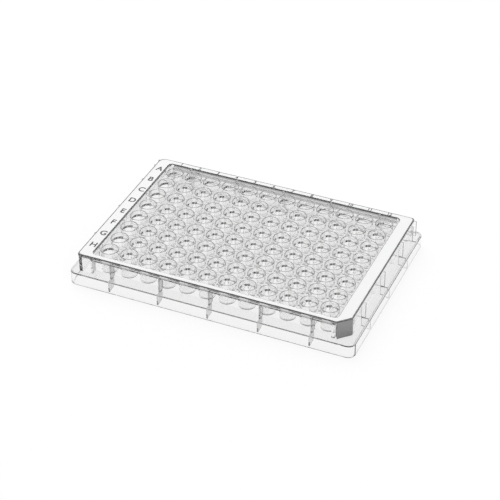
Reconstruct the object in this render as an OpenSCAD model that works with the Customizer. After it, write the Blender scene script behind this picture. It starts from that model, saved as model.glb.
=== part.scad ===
// 96-well microplate: one clear moulding with a skirt, a ledge, a raised frame and a
// grid of flat-bottomed wells. Millimetres. The origin is on the bench under the
// middle of the footprint; +X runs along the columns 1 to 12, +Y points to row A,
// +Z points up.

/* [Footprint] */
// Length of the skirt, along X
plate_l = 127.76; // [127:0.01:132]
// Width of the skirt, along Y
plate_w = 85.48; // [85:0.01:90]
// Height of the whole plate
plate_h = 14.4; // [14:0.1:18]

/* [Skirt and ledge] */
// Height of the ledge's top above the bench
ledge_z = 6; // [5.5:0.1:7]
// Thickness of the ledge
ledge_t = 0.9; // [0.7:0.1:1.4]
// Thickness of the skirt's wall
skirt_t = 1; // [0.8:0.1:1.5]
// Radius of the skirt's corners
skirt_r = 3.2; // [2:0.1:5]

/* [Frame] */
// Width of the ledge in front of the frame on the short sides
frame_inset_x = 3.28; // [3:0.01:3.6]
// Width of the ledge in front of the frame on the long sides
frame_inset_y = 2.67; // [2.4:0.01:3]
// Height of the frame's lip
lip_h = 1.5; // [1.2:0.1:2]
// Radius of the frame's corners
frame_r = 1.5; // [1:0.1:2.5]
// Radius of the frame's corner beside well A1
frame_a1_r = 2.75; // [1:0.05:3.5]
// Length of the flat cut across the frame's corner beside well H12
corner_cut = 4.8; // [4:0.1:5.5]
// Width of the frame's top on the short sides
border_x = 5.8; // [5.4:0.1:5.9]
// Width of the frame's top on the long sides
border_y = 2.75; // [2.6:0.05:3]
// Radius of the corners of the frame's opening
opening_r = 2; // [1:0.1:3]

/* [Walls] */
// Thickness of the walls, the deck and the frame's inner step
wall_t = 1.1; // [0.9:0.1:1.3]
// Depth that the end walls stand back under the lip
end_recess = 0.9; // [0.6:0.1:1.2]
// Depth that the long walls stand back under the lip
side_recess = 2.85; // [2.6:0.05:2.9]
// Length of the corner blocks, where the long walls come out to the lip
block_l = 7.1; // [6.5:0.1:7.5]
// Length of the block beside well H12 on the short side, where it comes out to the lip too
cut_block_w = 7.4; // [6:0.1:8]
// Depth of the deck's top below the frame's top
deck_drop = 2.2; // [1.8:0.1:2.8]

/* [Wells] */
// Distance from one well to the next
pitch = 9; // [8.9:0.05:9.1]
// Number of columns
columns = 12; // [10:1:12]
// Number of rows
rows = 8; // [6:1:8]
// Radius of a well's mouth
mouth_r = 3.43; // [3.3:0.01:3.6]
// Radius of a well's floor, inside
floor_r = 3.18; // [3:0.01:3.4]
// Thickness of a well's wall at the mouth
rim_t = 0.47; // [0.35:0.01:0.5]
// Thickness of a well's wall at the floor
foot_t = 0.42; // [0.35:0.01:0.6]
// Height of the wells' undersides above the bench
well_z = 4.3; // [4.2:0.1:4.8]
// Thickness of a well's floor
floor_t = 0.9; // [0.7:0.1:1.2]
// Depth of the wells' rims below the frame's top
rim_drop = 0.1; // [0.05:0.05:0.4]

/* [Ribs] */
// Thickness of a rib
rib_t = 0.65; // [0.5:0.05:0.9]
// Distance between ribs along every side
rib_pitch = 22.5; // [20:0.5:24]
// Number of ribs on a long side
side_ribs = 5; // [1:2:5]
// Number of ribs on a short side
end_ribs = 3; // [1:2:3]
// Distance of the ribs' outer edges from the skirt's outer face
rib_inset = 2.33; // [2:0.01:2.4]
// Depth of the ribs' tops below the frame's top
rib_drop = 0.9; // [0.5:0.1:1.2]
// Height of a web's lower edge above the bench, at the skirt
web_z = 0.5; // [0.3:0.1:1.5]
// Rise of a web's lower edge from the skirt to its inner end
web_rise = 0.5; // [0:0.1:1]
// Reach of the webs under the ledge, from the skirt's outer face on the short sides
web_reach_x = 4.1; // [4:0.1:4.4]
// Reach of the webs under the ledge, from the skirt's outer face on the long sides
web_reach_y = 4.8; // [4.6:0.1:5.4]
// Distances of the two short corner ribs from the frame's back face
corner_rib_steps = [0.8, 5];

/* [Hidden] */
// a small overlap that joins pieces of the moulding
eps = 0.05;
$fn = 64;
// half sizes of the frame, its walls and its opening
frame_x = plate_l / 2 - frame_inset_x;
frame_y = plate_w / 2 - frame_inset_y;
end_wall_x = frame_x - end_recess;
side_wall_y = frame_y - side_recess;
block_x = frame_x - block_l;
opening_x = frame_x - border_x;
opening_y = frame_y - border_y;
// levels
lip_z = plate_h - lip_h;
deck_z = plate_h - deck_drop;
deck_under_z = deck_z - wall_t;
ledge_under_z = ledge_z - ledge_t;
rim_z = plate_h - rim_drop;
well_floor_z = well_z + floor_t;
rib_top_z = plate_h - rib_drop;
// the flat cut lies at 45 degrees across the corner
cut_reach = frame_x + frame_y - corner_cut;

// Rectangle of half sizes x and y with corner radii in the order
// back left, back right, front left, front right
module rounded(x, y, radii) {
    difference() {
        square([2 * x, 2 * y], center = true);
        for (i = [0 : 3])
            scale([i % 2 == 0 ? -1 : 1, i < 2 ? 1 : -1])
                translate([x - radii[i], y - radii[i]])
                    difference() {
                        square(radii[i] + 1);
                        circle(r = radii[i]);
                    }
    }
}

// Half plane outside the flat corner cut, moved inwards by inset
module beyond_cut(inset = 0) {
    reach = cut_reach - inset * sqrt(2);
    far = plate_l;
    polygon([[reach, 0], [far, 0], [far, -far], [0, -far], [0, -reach]]);
}

// Outline of the frame's top
module frame_outline() {
    difference() {
        rounded(frame_x, frame_y, [frame_a1_r, frame_r, frame_r, frame_r]);
        beyond_cut();
    }
}

// Outline of the frame's opening, widened by grow
module opening_outline(grow = 0) {
    radius = opening_r + grow;
    rounded(opening_x + grow, opening_y + grow, [radius, radius, radius, radius]);
}

// Outline of the walls below the frame, with a block at each corner
module wall_outline(inset = 0) {
    difference() {
        union() {
            square([2 * (end_wall_x - inset), 2 * (side_wall_y - inset)], center = true);
            for (sx = [-1, 1], sy = [-1, 1])
                scale([sx, sy])
                    translate([block_x + inset, 0])
                        square([end_wall_x - block_x - 2 * inset, frame_y - inset]);
            translate([block_x + inset, inset - frame_y])
                square([frame_x - block_x - 2 * inset, cut_block_w - 2 * inset]);
        }
        beyond_cut(inset);
    }
}

module skirt_outline(inset = 0) {
    radius = skirt_r - min(inset, skirt_r / 2);
    rounded(plate_l / 2 - inset, plate_w / 2 - inset, [radius, radius, radius, radius]);
}

// Extrudes an outline from one level to another
module between(low, high) {
    translate([0, 0, low])
        linear_extrude(high - low)
            children();
}

module skirt_and_ledge() {
    between(0, ledge_z)
        difference() {
            skirt_outline();
            skirt_outline(skirt_t);
        }
    between(ledge_under_z, ledge_z)
        difference() {
            skirt_outline();
            wall_outline(wall_t);
        }
}

module walls() {
    between(ledge_under_z, lip_z + eps)
        difference() {
            wall_outline();
            wall_outline(wall_t);
        }
}

module deck_and_frame() {
    between(deck_under_z, deck_z)
        opening_outline(wall_t);
    between(deck_under_z, plate_h)
        difference() {
            opening_outline(wall_t);
            opening_outline();
        }
    between(lip_z, plate_h)
        difference() {
            frame_outline();
            opening_outline();
        }
}

// One upright rib on the ledge and its web under the ledge. The rib stands across
// +Y: wall is the wall's outer face, skirt the skirt's outer face.
module rib(wall, skirt, web_reach) {
    edge = skirt - rib_inset;
    inner = skirt - web_reach;
    outer = skirt - skirt_t + eps;
    translate([-rib_t / 2, wall - eps, ledge_z - eps])
        cube([rib_t, edge - wall + eps, rib_top_z - ledge_z + eps]);
    translate([-rib_t / 2, 0, 0])
        rotate([90, 0, 90])
            linear_extrude(rib_t)
                polygon([[inner, web_z + web_rise], [outer, web_z],
                         [outer, ledge_under_z + eps], [inner, ledge_under_z + eps]]);
}

module long_side_ribs() {
    for (side = [0, 180], i = [0 : side_ribs - 1])
        rotate(side)
            translate([(i - (side_ribs - 1) / 2) * rib_pitch, 0, 0])
                rib(side_wall_y, plate_w / 2, web_reach_y);
}

module short_side_ribs() {
    for (side = [90, 270], i = [0 : end_ribs - 1])
        rotate(side)
            translate([(i - (end_ribs - 1) / 2) * rib_pitch, 0, 0])
                rib(end_wall_x, plate_l / 2, web_reach_x);
}

// Short ribs on the end walls beside the two back corners
module corner_ribs() {
    edge = plate_l / 2 - rib_inset;
    for (side = [-1, 1], step = corner_rib_steps)
        scale([side, 1, 1])
            translate([end_wall_x - eps, frame_y - step - rib_t / 2, ledge_z - eps])
                cube([edge - end_wall_x + eps, rib_t, rib_top_z - ledge_z + eps]);
}

module each_well() {
    for (column = [0 : columns - 1], row = [0 : rows - 1])
        translate([(column - (columns - 1) / 2) * pitch, (row - (rows - 1) / 2) * pitch, 0])
            children();
}

module well_body() {
    translate([0, 0, well_z])
        cylinder(r1 = floor_r + foot_t, r2 = mouth_r + rim_t, h = rim_z - well_z);
}

// The inside runs on past the rim at the same taper
module well_inside() {
    over = 1;
    depth = rim_z - well_floor_z;
    taper = (mouth_r - floor_r) / depth;
    translate([0, 0, well_floor_z])
        cylinder(r1 = floor_r, r2 = mouth_r + taper * over, h = depth + over);
}

module plate() {
    color("aliceblue", 0.6)
        difference() {
            union() {
                skirt_and_ledge();
                walls();
                deck_and_frame();
                long_side_ribs();
                short_side_ribs();
                corner_ribs();
                each_well()
                    well_body();
            }
            each_well()
                well_inside();
        }
}

plate();
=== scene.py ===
"""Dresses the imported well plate: a clear moulding with printed marks, on a pale studio floor."""

import math

import bmesh
import bpy
from mathutils import Matrix, Vector


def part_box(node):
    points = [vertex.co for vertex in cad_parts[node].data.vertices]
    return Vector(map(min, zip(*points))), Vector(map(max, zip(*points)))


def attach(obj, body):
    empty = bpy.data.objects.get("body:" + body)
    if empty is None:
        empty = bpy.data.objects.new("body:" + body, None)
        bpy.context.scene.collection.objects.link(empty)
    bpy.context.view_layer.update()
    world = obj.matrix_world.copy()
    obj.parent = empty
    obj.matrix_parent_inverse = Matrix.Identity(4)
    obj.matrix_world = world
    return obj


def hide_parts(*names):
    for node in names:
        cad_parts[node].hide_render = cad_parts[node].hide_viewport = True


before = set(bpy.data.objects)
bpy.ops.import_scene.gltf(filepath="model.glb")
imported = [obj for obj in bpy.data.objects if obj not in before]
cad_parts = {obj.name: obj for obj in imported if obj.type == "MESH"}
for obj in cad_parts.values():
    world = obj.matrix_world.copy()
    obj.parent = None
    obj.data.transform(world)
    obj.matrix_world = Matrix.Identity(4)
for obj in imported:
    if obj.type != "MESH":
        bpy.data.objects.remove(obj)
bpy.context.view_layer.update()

MM = 0.001
TURN = 2 * math.pi

# ---------------------------------------------------------------- sizes, in millimetres

plate_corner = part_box("plate")[1] / MM
PLATE_X = plate_corner.x
PLATE_Y = plate_corner.y
PLATE_H = plate_corner.z

INK_T = 0.02
TOP_Z = PLATE_H - INK_T
LETTER_SIZE = 4.4
LETTER_X = -57.2
NUMBER_SIZE = 2.4
NUMBER_Y = 38.5
BOLDNESS = 0.02

LEDGE_Z = 6.0
LEDGE_T = 0.9
LEDGE_EDGE_R = 0.25
SKIRT_T = 1.0
SKIRT_R = 3.2
SKIRT_FOOT_R = 0.2

FRAME_X = PLATE_X - 3.28
FRAME_Y = PLATE_Y - 2.67
FRAME_R = 1.5
FRAME_A1_R = 2.75
FRAME_EDGE_R = 0.35
# the strip round the frame's top that the print leaves bare, which slopes by a hair and takes the
# outer edge's painted shade
MARGIN = 0.6
MARGIN_DROP = 0.01
CORNER_CUT = 4.8
LIP_Z = PLATE_H - 1.5
OPENING_X = FRAME_X - 5.8
OPENING_Y = FRAME_Y - 2.75
OPENING_R = 2.0

WALL_T = 1.1
END_WALL_X = FRAME_X - 0.9
SIDE_WALL_Y = FRAME_Y - 2.85
BLOCK_X = FRAME_X - 7.1
CUT_BLOCK_W = 7.4
DECK_Z = PLATE_H - 2.2
DECK_UNDER_Z = DECK_Z - WALL_T
# the walls and the inner step end inside the frame
WALL_TOP_Z = LIP_Z + 0.1
STEP_TOP_Z = TOP_Z - 0.5

PITCH = 9.0
COLUMNS = 12
ROWS = 8
MOUTH_R = 3.43
FLOOR_R = 3.18
RIM_T = 0.47
FOOT_T = 0.42
RIM_EDGE_R = 0.23
RIM_Z = PLATE_H - 0.1
WELL_Z = 4.3
WELL_FLOOR_Z = WELL_Z + 0.9
WELL_CORNER_R = 0.35
WELL_SIDES = 40

RIB_T = 0.65
RIB_PITCH = 22.5
SIDE_RIBS = 5
END_RIBS = 3
RIB_INSET = 2.33
RIB_TOP_Z = PLATE_H - 0.9
RIB_EDGE_R = 0.12
WEB_Z = 0.5
WEB_RISE = 0.5
WEB_REACH_X = 4.1
WEB_REACH_Y = 4.8
CORNER_RIB_STEPS = (0.8, 5.0)
# how far a rib runs into the wall and the ledge
RIB_ROOT = 0.3

SHARP_ANGLE = math.radians(38)
# points nearer than this are one point
WELD = 1e-4
# how far a tool runs past what it cuts, and the half width of the corner cut's tool
OVERRUN = 1.0
CUT_REACH = 60.0
# the floor lies this far below the plate's foot
FLOOR_GAP = 0.03


# ---------------------------------------------------------------- mesh tools


def as_object(bm, name):
    """Closes the bmesh, given in millimetres, into a new object."""
    bmesh.ops.recalc_face_normals(bm, faces=bm.faces)
    mesh = bpy.data.meshes.new(name)
    bm.to_mesh(mesh)
    bm.free()
    piece = bpy.data.objects.new(name, mesh)
    bpy.context.scene.collection.objects.link(piece)
    return piece


def combine(piece, operation, others):
    """Joins others to the piece, or cuts them out of it, and deletes them."""
    group = bpy.data.collections.new("tools")
    for other in others:
        bpy.context.scene.collection.objects.unlink(other)
        group.objects.link(other)
    bpy.context.scene.collection.children.link(group)
    step = piece.modifiers.new("combine", "BOOLEAN")
    step.operation = operation
    step.solver = "MANIFOLD"
    step.operand_type = "COLLECTION"
    step.collection = group
    graph = bpy.context.evaluated_depsgraph_get()
    mesh = bpy.data.meshes.new_from_object(piece.evaluated_get(graph))
    piece.modifiers.clear()
    piece.data = mesh
    for other in others:
        bpy.data.objects.remove(other)
    bpy.data.collections.remove(group)
    return piece


def stacked(name, x, y, corners, levels):
    """A block with rounded upright corners, drawn up through levels of (z, grow).

    corners holds a (radius, segments) pair for each corner, by the signs of its x and y."""
    bm = bmesh.new()
    bmesh.ops.create_cube(bm, size=2, matrix=Matrix.Diagonal((x, y, 1, 1)))
    for (side_x, side_y), (radius, segments) in corners.items():
        upright = [
            edge for edge in bm.edges
            if all(v.co.x * side_x > x - WELD and v.co.y * side_y > y - WELD for v in edge.verts)
        ]
        bmesh.ops.bevel(bm, geom=upright, offset=radius, segments=segments, profile=0.5,
                        affect="EDGES", material=-1)
    bottom = [face for face in bm.faces if face.normal.z < -0.9]
    bmesh.ops.delete(bm, geom=[face for face in bm.faces if face not in bottom], context="FACES")
    face = bottom[0]
    size_x, size_y = x, y
    bmesh.ops.translate(bm, verts=face.verts, vec=(0, 0, levels[0][0] - face.verts[0].co.z))
    for step, (z, grow) in enumerate(levels):
        if step:
            made = bmesh.ops.extrude_face_region(bm, geom=[face])["geom"]
            new_face = next(item for item in made if isinstance(item, bmesh.types.BMFace))
            if step > 1:
                bmesh.ops.delete(bm, geom=[face], context="FACES_ONLY")
            face = new_face
            bmesh.ops.translate(bm, verts=face.verts, vec=(0, 0, z - levels[step - 1][0]))
        factors = ((x + grow) / size_x, (y + grow) / size_y, 1)
        bmesh.ops.scale(bm, verts=face.verts, vec=factors)
        size_x, size_y = x + grow, y + grow
    return as_object(bm, name)


def every_corner(radius, segments=8):
    return {(sx, sy): (radius, segments) for sx in (-1, 1) for sy in (-1, 1)}


def frame_corners():
    corners = every_corner(FRAME_R)
    corners[(-1, 1)] = (FRAME_A1_R, 10)
    corners[(1, -1)] = (CORNER_CUT, 1)
    return corners


def quarter_circle(centre_x, centre_z, radius, start, steps=3):
    """Points of (x, z) through a quarter turn, anticlockwise from the angle start."""
    angles = [start + TURN / 4 * i / steps for i in range(steps + 1)]
    return [(centre_x + radius * math.cos(a), centre_z + radius * math.sin(a)) for a in angles]


def rounded_up(z, radius, steps=3):
    """Levels that round a block's top edge over, up to z."""
    return [(level, grow) for grow, level in quarter_circle(-radius, z - radius, radius, 0, steps)]


def rounded_under(z, radius, steps=3):
    """Levels that round a block's lower edge, from z up."""
    return [(2 * z - level, grow) for level, grow in reversed(rounded_up(z, radius, steps))]


def flared_out(z, radius):
    """Levels that round a hole's top edge outwards, up to z."""
    points = reversed(quarter_circle(radius, z - radius, radius, TURN / 4))
    return [(level, grow) for grow, level in points]


def box_between(name, corner_a, corner_b, edge_r=0.0):
    """A plain bar between two corners, with its edges eased by edge_r."""
    a, b = Vector(corner_a), Vector(corner_b)
    place = Matrix.Translation((a + b) / 2) @ Matrix.Diagonal([*(b - a), 1])
    bm = bmesh.new()
    bmesh.ops.create_cube(bm, size=1, matrix=place)
    if edge_r:
        bmesh.ops.bevel(bm, geom=bm.edges[:], offset=edge_r, segments=2, profile=0.5,
                        affect="EDGES", material=-1)
    return as_object(bm, name)


# ---------------------------------------------------------------- the moulding


def skirt_and_ledge():
    outer = rounded_under(0, SKIRT_FOOT_R) + rounded_up(LEDGE_Z, LEDGE_EDGE_R)
    body = stacked("skirt", PLATE_X, PLATE_Y, every_corner(SKIRT_R, 10), outer)
    hollow = stacked("hollow", PLATE_X - SKIRT_T, PLATE_Y - SKIRT_T,
                     every_corner(SKIRT_R - SKIRT_T, 10),
                     [(-OVERRUN, 0), (LEDGE_Z - LEDGE_T, 0)])
    way_up = wall_block("way_up", WALL_T, OVERRUN, LEDGE_Z + OVERRUN)
    return combine(body, "DIFFERENCE", [hollow, way_up])


def wall_block(name, inset, bottom, top):
    """The walls' outline as a solid block, moved inwards by inset."""
    levels = [(bottom, 0), (top, 0)]
    long_part = stacked(name, END_WALL_X - inset, SIDE_WALL_Y - inset, {}, levels)
    half_x = (END_WALL_X - BLOCK_X) / 2 - inset
    half_y = (FRAME_Y - inset) / 2
    centre_x = (END_WALL_X + BLOCK_X) / 2
    blocks = []
    for side_x in (-1, 1):
        for side_y in (-1, 1):
            block = stacked("block", half_x, half_y, {}, levels)
            block.data.transform(Matrix.Translation((side_x * centre_x, side_y * half_y, 0)))
            blocks.append(block)
    beside_cut = stacked("block", (FRAME_X - BLOCK_X) / 2 - inset, CUT_BLOCK_W / 2 - inset, {},
                         levels)
    beside_cut.data.transform(Matrix.Translation(
        ((FRAME_X + BLOCK_X) / 2, CUT_BLOCK_W / 2 - FRAME_Y, 0)))
    blocks.append(beside_cut)
    combine(long_part, "UNION", blocks)
    return combine(long_part, "DIFFERENCE", [beyond_cut(inset, bottom - OVERRUN, top + OVERRUN)])


def beyond_cut(inset, bottom, top):
    """A block that covers all beyond the flat cut beside the last well."""
    reach = (FRAME_X + FRAME_Y - CORNER_CUT) / math.sqrt(2) - inset
    block = box_between("cut", (reach, -CUT_REACH, bottom), (reach + CUT_REACH, CUT_REACH, top))
    block.data.transform(Matrix.Rotation(-TURN / 8, 4, "Z"))
    return block


def walls():
    outer = wall_block("walls", 0, LEDGE_Z - LEDGE_T, WALL_TOP_Z)
    inner = wall_block("inner", WALL_T, LEDGE_Z - LEDGE_T - OVERRUN, LIP_Z + OVERRUN)
    return combine(outer, "DIFFERENCE", [inner])


def cut_corner():
    """The block beside the last well, which keeps the cut flat right up to the frame's top."""
    block = box_between("block", (BLOCK_X, -FRAME_Y, LIP_Z),
                        (FRAME_X, CUT_BLOCK_W - FRAME_Y, TOP_Z - FRAME_EDGE_R))
    return combine(block, "DIFFERENCE", [beyond_cut(0, LIP_Z - OVERRUN, TOP_Z)])


def frame_and_deck():
    """The frame's top with its lip, the step inside it and the deck, open at every well."""
    levels = rounded_under(LIP_Z, FRAME_EDGE_R, 2) + rounded_up(TOP_Z - MARGIN_DROP, FRAME_EDGE_R)
    levels.append((TOP_Z, -MARGIN))
    top = stacked("frame", FRAME_X, FRAME_Y, frame_corners(), levels)
    step = stacked("step", OPENING_X + WALL_T, OPENING_Y + WALL_T,
                   every_corner(OPENING_R + WALL_T), [(DECK_UNDER_Z, 0), (STEP_TOP_Z, 0)])
    combine(top, "UNION", [step, cut_corner()])
    flare = flared_out(TOP_Z, FRAME_EDGE_R)
    opening = stacked("opening", OPENING_X, OPENING_Y, every_corner(OPENING_R),
                      [(DECK_Z, 0)] + flare + [(TOP_Z + OVERRUN, FRAME_EDGE_R)])
    return combine(combine(top, "DIFFERENCE", [opening]), "DIFFERENCE", [well_holes()])


def well_places():
    for column in range(COLUMNS):
        for row in range(ROWS):
            yield Vector(((column - (COLUMNS - 1) / 2) * PITCH, ((ROWS - 1) / 2 - row) * PITCH, 0))


def repeated(bm, name):
    """One object with a copy of the bmesh at every well."""
    one = bpy.data.meshes.new(name)
    bm.to_mesh(one)
    bm.free()
    many = bmesh.new()
    for place in well_places():
        one.transform(Matrix.Translation(place))
        many.from_mesh(one)
        one.transform(Matrix.Translation(-place))
    bpy.data.meshes.remove(one)
    return as_object(many, name)


def well_profile():
    """Half section of a well, from the middle of its underside round to its floor."""
    corner, rim = WELL_CORNER_R, RIM_EDGE_R
    foot = quarter_circle(FLOOR_R + FOOT_T - corner, WELL_Z + corner, corner, -TURN / 4)
    rim_outside = quarter_circle(MOUTH_R + RIM_T - rim, RIM_Z - rim, rim, 0)
    rim_inside = quarter_circle(MOUTH_R + rim, RIM_Z - rim, rim, TURN / 4)
    floor = quarter_circle(FLOOR_R - corner, WELL_FLOOR_Z + corner, corner, -TURN / 4)
    return [(0, WELL_Z), *foot, *rim_outside, *rim_inside, *reversed(floor), (0, WELL_FLOOR_Z)]


def wells():
    bm = bmesh.new()
    line = [bm.verts.new((r, 0, z)) for r, z in well_profile()]
    edges = [bm.edges.new(pair) for pair in zip(line, line[1:])]
    bmesh.ops.spin(bm, geom=line + edges, cent=(0, 0, 0), axis=(0, 0, 1), angle=TURN,
                   steps=WELL_SIDES, use_merge=True, use_duplicate=False)
    bmesh.ops.remove_doubles(bm, verts=bm.verts, dist=WELD)
    return repeated(bm, "wells")


def well_holes():
    bm = bmesh.new()
    radius = MOUTH_R + RIM_T / 2
    middle = (DECK_Z + DECK_UNDER_Z) / 2
    bmesh.ops.create_cone(bm, cap_ends=True, segments=WELL_SIDES, radius1=radius, radius2=radius,
                          depth=WALL_T + 2 * OVERRUN, matrix=Matrix.Translation((0, 0, middle)))
    return repeated(bm, "holes")


def rib(across, wall, skirt, web_reach, turn):
    """An upright rib on the ledge with its web below, across +Y and turned about the middle."""
    edge = skirt - RIB_INSET
    inner = skirt - web_reach
    outer = skirt - SKIRT_T / 2
    web_top = LEDGE_Z - LEDGE_T / 2
    upright = box_between("rib", (-RIB_T / 2, wall - RIB_ROOT, LEDGE_Z - RIB_ROOT),
                          (RIB_T / 2, edge, RIB_TOP_Z), RIB_EDGE_R)
    web = box_between("web", (-RIB_T / 2, inner, WEB_Z), (RIB_T / 2, outer, web_top), RIB_EDGE_R)
    for vert in web.data.vertices:
        if vert.co.z < (WEB_Z + web_top) / 2:
            vert.co.z += WEB_RISE * (outer - vert.co.y) / (outer - inner)
    place = Matrix.Rotation(turn, 4, "Z") @ Matrix.Translation((across, 0, 0))
    for piece in (upright, web):
        piece.data.transform(place)
    return [upright, web]


def ribs():
    made = []
    for turn in (0, TURN / 2):
        for i in range(SIDE_RIBS):
            across = (i - (SIDE_RIBS - 1) / 2) * RIB_PITCH
            made += rib(across, SIDE_WALL_Y, PLATE_Y, WEB_REACH_Y, turn)
    for turn in (TURN / 4, -TURN / 4):
        for i in range(END_RIBS):
            across = (i - (END_RIBS - 1) / 2) * RIB_PITCH
            made += rib(across, END_WALL_X, PLATE_X, WEB_REACH_X, turn)
    for side in (-1, 1):
        left, right = sorted((side * (END_WALL_X - RIB_ROOT), side * (PLATE_X - RIB_INSET)))
        for step in CORNER_RIB_STEPS:
            y = FRAME_Y - step
            made.append(box_between("rib", (left, y - RIB_T / 2, LEDGE_Z - RIB_ROOT),
                                    (right, y + RIB_T / 2, RIB_TOP_Z), RIB_EDGE_R))
    return made


def finish_surface(piece):
    """Smooths round faces, keeps corners crisp and levels the flat faces' shading."""
    bm = bmesh.new()
    bm.from_mesh(piece.data)
    bmesh.ops.remove_doubles(bm, verts=bm.verts, dist=WELD)
    bmesh.ops.dissolve_degenerate(bm, edges=bm.edges, dist=WELD)
    for face in bm.faces:
        face.smooth = True
    for edge in bm.edges:
        edge.smooth = not edge.is_manifold or edge.calc_face_angle(0) < SHARP_ANGLE
    bmesh.ops.scale(bm, verts=bm.verts, vec=(MM, MM, MM))
    bm.to_mesh(piece.data)
    bm.free()
    level = piece.modifiers.new("level", "WEIGHTED_NORMAL")
    level.keep_sharp = True


def moulding():
    body = skirt_and_ledge()
    combine(body, "UNION", [walls(), frame_and_deck(), wells()] + ribs())
    body.name = "clear_plate"
    finish_surface(body)
    return body


# ---------------------------------------------------------------- printed marks


def mark(text, size, x, y):
    """A flat printed character, its middle at x, y on the frame's top."""
    curve = bpy.data.curves.new("mark", "FONT")
    curve.body = text
    curve.size = size
    curve.offset = BOLDNESS * size
    curve.align_x = "CENTER"
    curve.align_y = "CENTER"
    writing = bpy.data.objects.new("mark", curve)
    bpy.context.scene.collection.objects.link(writing)
    graph = bpy.context.evaluated_depsgraph_get()
    mesh = bpy.data.meshes.new_from_object(writing.evaluated_get(graph))
    bpy.data.objects.remove(writing)
    mesh.transform(Matrix.Translation((x, y, 0)))
    return mesh


def printed(name, meshes):
    """Joins flat characters into one thin skin of ink on the frame's top."""
    bm = bmesh.new()
    for mesh in meshes:
        bm.from_mesh(mesh)
    bmesh.ops.remove_doubles(bm, verts=bm.verts, dist=WELD)
    bmesh.ops.translate(bm, verts=bm.verts, vec=(0, 0, TOP_Z + INK_T / 4))
    made = bmesh.ops.extrude_face_region(bm, geom=bm.faces[:])["geom"]
    bmesh.ops.translate(bm, verts=[v for v in made if isinstance(v, bmesh.types.BMVert)],
                        vec=(0, 0, INK_T / 2))
    bmesh.ops.scale(bm, verts=bm.verts, vec=(MM, MM, MM))
    return as_object(bm, name)


def row_letters():
    return printed("row_letters", [
        mark("ABCDEFGH"[row], LETTER_SIZE, LETTER_X, ((ROWS - 1) / 2 - row) * PITCH)
        for row in range(ROWS)])


def column_numbers():
    return printed("column_numbers", [
        mark(str(column + 1), NUMBER_SIZE, (column - (COLUMNS - 1) / 2) * PITCH, NUMBER_Y)
        for column in range(COLUMNS)])


# ---------------------------------------------------------------- materials


GRAIN_DEPTH = 0.02 * MM
# what the plastic swallows on the way through, per metre
ABSORPTION = 20
POLYSTYRENE_IOR = 1.59


def new_material(name):
    material = bpy.data.materials.new(name)
    material.use_nodes = True
    return material, material.node_tree.nodes, material.node_tree.links


def moulded_grain():
    """Shader group: the faint waviness of a polished mould, as a roughness and a height."""
    group = bpy.data.node_groups.new("moulded_grain", "ShaderNodeTree")
    for name, kind, start in (("Vector", "NodeSocketVector", None),
                              ("Scale", "NodeSocketFloat", 200.0),
                              ("Low Roughness", "NodeSocketFloat", 0.01),
                              ("High Roughness", "NodeSocketFloat", 0.03)):
        socket = group.interface.new_socket(name, in_out="INPUT", socket_type=kind)
        if start is not None:
            socket.default_value = start
    for name in ("Roughness", "Height"):
        group.interface.new_socket(name, in_out="OUTPUT", socket_type="NodeSocketFloat")
    nodes, links = group.nodes, group.links
    inside = nodes.new("NodeGroupInput")
    outside = nodes.new("NodeGroupOutput")
    noise = nodes.new("ShaderNodeTexNoise")
    noise.inputs["Detail"].default_value = 3
    spread = nodes.new("ShaderNodeMapRange")
    links.new(inside.outputs["Vector"], noise.inputs["Vector"])
    links.new(inside.outputs["Scale"], noise.inputs["Scale"])
    links.new(noise.outputs["Fac"], spread.inputs["Value"])
    links.new(inside.outputs["Low Roughness"], spread.inputs["To Min"])
    links.new(inside.outputs["High Roughness"], spread.inputs["To Max"])
    links.new(spread.outputs["Result"], outside.inputs["Roughness"])
    links.new(noise.outputs["Fac"], outside.inputs["Height"])
    return group


def add_grain(nodes, links, shader, group, scale, rough, strength):
    """Gives the shader the mould's waviness, its roughness between the two values of rough."""
    place = nodes.new("ShaderNodeTexCoord")
    grain = nodes.new("ShaderNodeGroup")
    grain.node_tree = group
    grain.inputs["Scale"].default_value = scale
    grain.inputs["Low Roughness"].default_value = rough[0]
    grain.inputs["High Roughness"].default_value = rough[1]
    bump = nodes.new("ShaderNodeBump")
    bump.inputs["Strength"].default_value = strength
    bump.inputs["Distance"].default_value = GRAIN_DEPTH
    links.new(place.outputs["Object"], grain.inputs["Vector"])
    links.new(grain.outputs["Roughness"], shader.inputs["Roughness"])
    links.new(grain.outputs["Height"], bump.inputs["Height"])
    links.new(bump.outputs["Normal"], shader.inputs["Normal"])


def clear_plastic(group, name, tint, clearness):
    """Polystyrene, as grey as its tint and as see-through as its clearness; where the tint is
    grey, it is painted shade.
    """
    material, nodes, links = new_material(name)
    shader = nodes["Principled BSDF"]
    shader.inputs["Base Color"].default_value = (tint, tint, tint, 1)
    shader.inputs["Transmission Weight"].default_value = clearness
    shader.inputs["IOR"].default_value = POLYSTYRENE_IOR
    body = nodes.new("ShaderNodeVolumeAbsorption")
    body.inputs["Color"].default_value = (0, 0, 0, 1)
    body.inputs["Density"].default_value = ABSORPTION
    links.new(body.outputs["Volume"], nodes["Material Output"].inputs["Volume"])
    add_grain(nodes, links, shader, group, 160, (0.004, 0.02), 0.05)
    return material


def ink(group, name, color, rough):
    """A flat printed or matt finish, or a flat painted shade."""
    material, nodes, links = new_material(name)
    shader = nodes["Principled BSDF"]
    shader.inputs["Base Color"].default_value = (*color, 1)
    shader.inputs["Specular IOR Level"].default_value = 0.3
    add_grain(nodes, links, shader, group, 900, rough, 0.1)
    return material


# a face's place is held against the sizes with this much room, in millimetres
ROOM = 0.05
HAIR = 0.002
# how far a face's normal leans one way: hardly, nearly all the way, and all the way but a hair
TILTED, SQUARE, ALL_BUT_SQUARE = 0.1, 0.99, 0.9999


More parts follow.
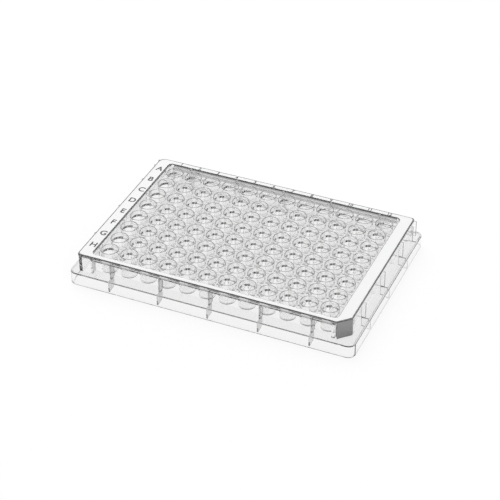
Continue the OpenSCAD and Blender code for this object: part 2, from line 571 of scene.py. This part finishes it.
def on_frame_edge(center, normal):
    """Whether a face belongs to the rounded outer edge of the frame's top or its bare margin, the
    faces given the darkest painted shade.
    """
    flare = FRAME_EDGE_R + ROOM
    outside = abs(center.x) > OPENING_X + flare or abs(center.y) > OPENING_Y + flare
    rounding = TOP_Z - FRAME_EDGE_R - MARGIN_DROP < center.z < TOP_Z - HAIR
    return outside and rounding and TILTED < normal.z < ALL_BUT_SQUARE


def on_opening_edge(center, normal):
    """Whether a face belongs to the rounded edge of the frame's opening."""
    corner = (1 - math.sqrt(0.5)) * OPENING_R + 2 * ROOM
    outside = abs(center.x) > OPENING_X - corner or abs(center.y) > OPENING_Y - corner
    return outside and TOP_Z - FRAME_EDGE_R < center.z < TOP_Z and TILTED < normal.z < SQUARE


def on_lower_edge(center, normal, z, radius):
    """Whether a face belongs to the rounding, of this radius, of a lower edge at height z."""
    return z < center.z < z + radius and TILTED < -normal.z < SQUARE


def in_web(center, across, skirt, reach):
    """Whether a face lies in the webs' band behind the skirt; across is its distance out."""
    return (skirt - reach - 2 * ROOM < across < skirt - SKIRT_T - ROOM
            and WEB_Z - ROOM < center.z < LEDGE_Z - LEDGE_T - ROOM / 2)


def beside_walls(center):
    """Whether a face lies between the ledge and the lip."""
    return LEDGE_Z + ROOM / 2 < center.z < LIP_Z - ROOM / 2


def on_side_rib(center):
    """Whether a face belongs to a long side's rib or web, or to a corner block's end."""
    x, y = abs(center.x), abs(center.y)
    if beside_walls(center):
        return y > SIDE_WALL_Y + ROOM and x < BLOCK_X + ROOM
    return x < PLATE_X - SKIRT_R and in_web(center, y, PLATE_Y, WEB_REACH_Y)


def on_end_rib_edge(center, normal):
    """Whether a face belongs to the narrow edge of a short side's rib or web."""
    x, y = abs(center.x), abs(center.y)
    beside_cut = center.x > END_WALL_X and center.y < CUT_BLOCK_W + ROOM - FRAME_Y
    if abs(normal.y) > SQUARE or beside_cut:
        return False
    if beside_walls(center):
        return x > END_WALL_X + ROOM
    return y < PLATE_Y - SKIRT_R and in_web(center, x, PLATE_X, WEB_REACH_X)


def paint(piece, white, cut_shade, edge, rib):
    """Gives the frame's flat top its white print, and paints shade on the cut corner, the outer
    edges and the ribs: grey and tinted materials for the dark those faces show.
    """
    for material in (white, cut_shade, edge, rib):
        piece.data.materials.append(material)
    diagonal = Vector((1, -1, 0)).normalized()
    cut_at = (FRAME_X + FRAME_Y - CORNER_CUT) / math.sqrt(2)
    for face in piece.data.polygons:
        center, normal = face.center / MM, face.normal
        if abs(center.z - TOP_Z) < HAIR and normal.z > SQUARE:
            finish = white
        # the cut corner's face gets a flat grey of painted shade
        elif abs(center.dot(diagonal) - cut_at) < HAIR and normal.dot(diagonal) > SQUARE:
            finish = cut_shade
        # painted shade: the frame's outer rounding and margin, the end ribs' edges and the skirt's
        # foot take the darkest tint, the foot's as a painted contact shadow
        elif (on_frame_edge(center, normal) or on_end_rib_edge(center, normal)
              or on_lower_edge(center, normal, 0, SKIRT_FOOT_R)):
            finish = edge
        # painted shade: the opening's rounding, the side ribs and the lip's underside take the
        # lighter tint
        elif (on_opening_edge(center, normal) or on_side_rib(center)
              or on_lower_edge(center, normal, LIP_Z, FRAME_EDGE_R)):
            finish = rib
        else:
            continue
        face.material_index = piece.data.materials.find(finish.name)


# ---------------------------------------------------------------- set and light


STUDIO_R = 4.0
# how much of its plain white the floor shows where it is looked at, and how much is lit
FLOOR_WHITE = 0.9
# the surround's height, as the upright part of the direction, and its brightness there
SURROUND = ((0.0, 1.0), (0.08, 1.0), (0.3, 0.7), (0.588, 0.52), (0.75, 0.32), (1.0, 0.25))


def studio():
    """A pale floor just below the foot, white to the eye and through the plastic."""
    bm = bmesh.new()
    bmesh.ops.create_circle(bm, cap_ends=True, segments=96, radius=STUDIO_R,
                            matrix=Matrix.Translation((0, 0, -FLOOR_GAP * MM)))
    floor = as_object(bm, "studio_floor")
    if floor.data.polygons[0].normal.z < 0:
        floor.data.flip_normals()
    material, nodes, links = new_material("pale_floor")
    shader = nodes["Principled BSDF"]
    shader.inputs["Base Color"].default_value = (0.95, 0.95, 0.95, 1)
    shader.inputs["Roughness"].default_value = 0.8
    shader.inputs["Specular IOR Level"].default_value = 0.1
    glow = nodes.new("ShaderNodeEmission")
    path = nodes.new("ShaderNodeLightPath")
    seen = nodes.new("ShaderNodeMath")
    seen.operation = "MAXIMUM"
    seen_more = nodes.new("ShaderNodeMath")
    seen_more.operation = "MAXIMUM"
    part = nodes.new("ShaderNodeMath")
    part.operation = "MULTIPLY"
    part.inputs[1].default_value = FLOOR_WHITE
    mix = nodes.new("ShaderNodeMixShader")
    links.new(path.outputs["Is Camera Ray"], seen.inputs[0])
    links.new(path.outputs["Is Transmission Ray"], seen.inputs[1])
    links.new(seen.outputs[0], seen_more.inputs[0])
    links.new(path.outputs["Is Glossy Ray"], seen_more.inputs[1])
    links.new(seen_more.outputs[0], part.inputs[0])
    links.new(part.outputs[0], mix.inputs["Fac"])
    links.new(shader.outputs["BSDF"], mix.inputs[1])
    links.new(glow.outputs["Emission"], mix.inputs[2])
    links.new(mix.outputs["Shader"], nodes["Material Output"].inputs["Surface"])
    floor.data.materials.append(material)


def sky():
    """A studio surround: white round the horizon, dimmer overhead."""
    world = bpy.data.worlds.new("surround")
    bpy.context.scene.world = world
    world.use_nodes = True
    nodes, links = world.node_tree.nodes, world.node_tree.links
    place = nodes.new("ShaderNodeTexCoord")
    split = nodes.new("ShaderNodeSeparateXYZ")
    ramp = nodes.new("ShaderNodeValToRGB")
    while len(ramp.color_ramp.elements) < len(SURROUND):
        ramp.color_ramp.elements.new(0.5)
    for stop, (height, white) in zip(ramp.color_ramp.elements, SURROUND):
        stop.position = height
        stop.color = (white, white, white, 1)
    links.new(place.outputs["Generated"], split.inputs[0])
    links.new(split.outputs["Z"], ramp.inputs["Fac"])
    links.new(ramp.outputs["Color"], nodes["Background"].inputs["Color"])


def softbox(name, place, width, power):
    """A round soft lamp that looks at the middle of the floor."""
    lamp = bpy.data.lights.new(name, "AREA")
    lamp.shape = "DISK"
    lamp.size = width
    lamp.energy = power
    holder = bpy.data.objects.new(name, lamp)
    bpy.context.scene.collection.objects.link(holder)
    holder.location = place
    holder.visible_glossy = holder.visible_transmission = False
    holder.rotation_euler = (-Vector(place)).to_track_quat("-Z", "Y").to_euler()


def lights():
    sky()
    softbox("key", (-0.5, 0.5, 1.1), width=0.9, power=11)
    softbox("fill", (0.7, -0.4, 0.9), width=0.7, power=3.5)


def camera():
    azimuth = math.radians(23.80)
    elevation = math.radians(36.07)
    roll = math.radians(-0.295)
    distance = 0.7185
    target = Vector((-0.00321, 0.00895, 0))
    back = Vector((math.sin(azimuth) * math.cos(elevation),
                   -math.cos(azimuth) * math.cos(elevation), math.sin(elevation)))
    right = Vector((math.cos(azimuth), math.sin(azimuth), 0))
    up = back.cross(right)
    turned_right = right * math.cos(roll) + up * math.sin(roll)
    turned_up = back.cross(turned_right)
    data = bpy.data.cameras.new("camera")
    data.sensor_width = 36
    data.lens = 119.6
    view = bpy.data.objects.new("camera", data)
    bpy.context.scene.collection.objects.link(view)
    turn = Matrix((turned_right, turned_up, back)).transposed().to_4x4()
    view.matrix_world = Matrix.Translation(target + back * distance) @ turn
    bpy.context.scene.camera = view


# ---------------------------------------------------------------- assembly

scene = bpy.context.scene
scene.view_settings.view_transform = "Standard"
scene.cycles.max_bounces = 32
scene.cycles.transmission_bounces = 32
scene.cycles.glossy_bounces = 16

camera()
studio()
lights()

grain_group = moulded_grain()
clear = clear_plastic(grain_group, "clear_polystyrene", 0.99, 1)
# painted shade: a dark grey tint on the frame's outer rounding and bare margin, the end ribs'
# edges and the skirt's foot stands for the dark lines that refraction gives these edges; at the
# foot it is a painted contact shadow
edge_painted_shade = clear_plastic(grain_group, "outer_edge_painted_shade", 0.3, 0.8)
# painted shade: a lighter grey tint on the side ribs, the opening's rounding and the lip's
# underside stands for the dark outlines that refraction gives them
rib_painted_shade = clear_plastic(grain_group, "rib", 0.6, 1)
white_ink = ink(grain_group, "white_print", (0.85, 0.85, 0.855), (0.35, 0.55))
grey_ink = ink(grain_group, "grey_print", (0.1, 0.1, 0.103), (0.4, 0.6))
# painted shade: a flat dark grey on the cut corner's face stands for the shade that face shows
cut_corner_painted_shade = ink(grain_group, "corner_face_painted_shade", (0.27, 0.27, 0.275), (0.3, 0.5))

plate = moulding()
plate.data.materials.clear()
plate.data.materials.append(clear)
paint(plate, white_ink, cut_corner_painted_shade, edge_painted_shade, rib_painted_shade)
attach(plate, "root")
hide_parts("plate")

for marks in (row_letters(), column_numbers()):
    marks.data.materials.append(grey_ink)
    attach(marks, "root")
